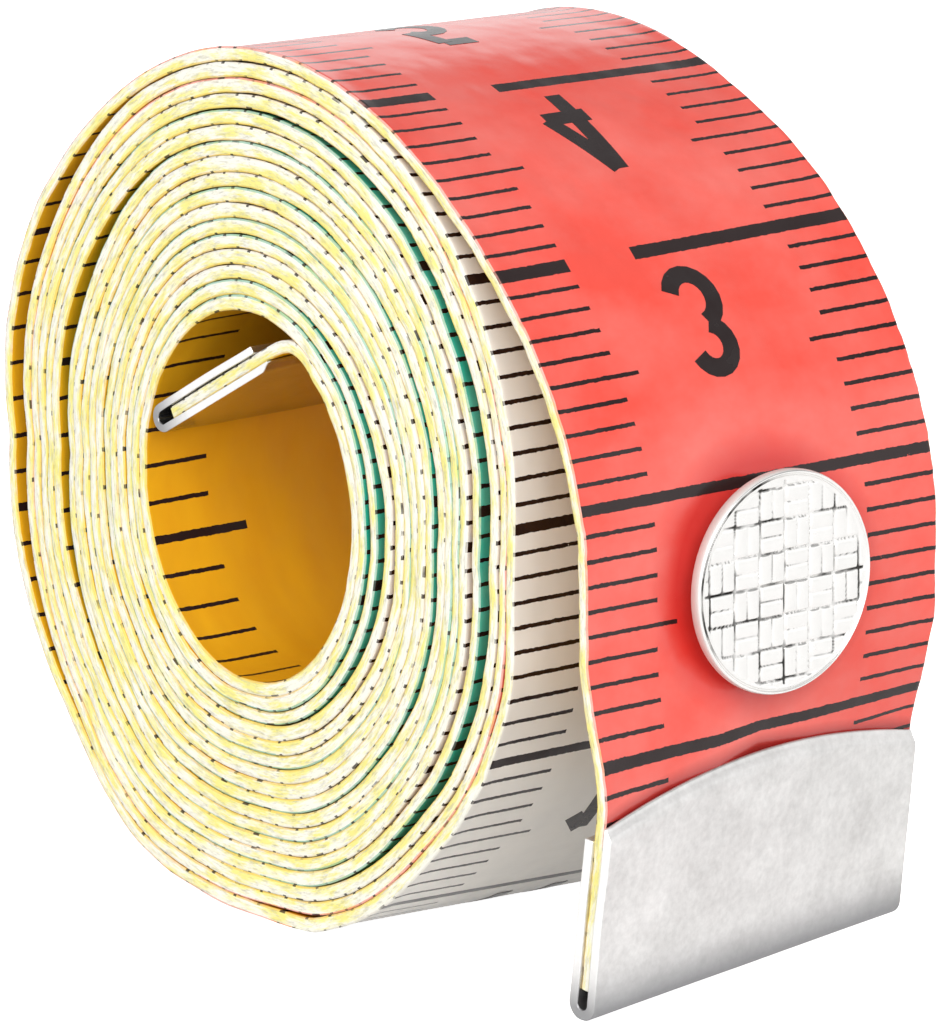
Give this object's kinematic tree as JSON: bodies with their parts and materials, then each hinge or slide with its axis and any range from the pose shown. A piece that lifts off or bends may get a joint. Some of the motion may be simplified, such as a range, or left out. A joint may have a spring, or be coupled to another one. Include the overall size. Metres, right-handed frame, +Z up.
{
  "type": "rolled cloth tape measure",
  "caption": "Soft measuring tape rolled up on itself, its loose outer end closed by a press stud, with a folded metal clip on each end of the strip.",
  "frame": {"origin": "middle of the part's box, on the surface that the roll stands on", "axes": "+Z up, the roll's axis along Y, the loose flap with its press stud on the +X side"},
  "size_m": [0.0394, 0.018, 0.0365],
  "materials": {
    "tape_cream": "satin",
    "tape_red": "gloss",
    "tape_yellow": "satin",
    "clip_aluminium": "satin",
    "snap_nickel": "polished",
    "snap_steel": "satin"
  },
  "bodies": {
    "roll": {"tape_roll": "tape_cream", "snap_stud": "snap_steel", "snap_stud_post": "snap_steel"},
    "flap_upper": {"tape_flap_upper": "tape_red"},
    "flap": {"tape_flap_lower": "tape_red", "snap_cap": "snap_nickel", "snap_cap_post": "snap_steel", "snap_socket": "snap_nickel", "snap_spring": "snap_steel"},
    "tip": {"tape_tip": "tape_red", "outer_tip_clip": "clip_aluminium"},
    "inner_end": {"tape_inner_end": "tape_yellow", "inner_tip_clip": "clip_aluminium"}
  },
  "joints": [
    {"name": "flap_lift", "type": "hinge", "parent": "roll", "child": "flap_upper", "pos_m": [0.00362, 0, 0.03526], "axis": [0, -1, 0], "range_deg": [0, 60], "stiffness_Nm_per_rad": 0.002},
    {"name": "flap_straighten", "type": "hinge", "parent": "flap_upper", "child": "flap", "pos_m": [0.01314, 0, 0.02896], "axis": [0, -1, 0], "range_deg": [0, 60], "stiffness_Nm_per_rad": 0.002},
    {"name": "tip_bend", "type": "hinge", "parent": "flap", "child": "tip", "pos_m": [0.01815, 0, 0.01111], "axis": [0, -1, 0], "range_deg": [0, 75], "stiffness_Nm_per_rad": 0.002},
    {"name": "inner_end_flex", "type": "hinge", "parent": "roll", "child": "inner_end", "pos_m": [0.00278, 0, 0.0228], "axis": [0, -1, 0], "range_deg": [0, 25], "stiffness_Nm_per_rad": 0.003}
  ]
}
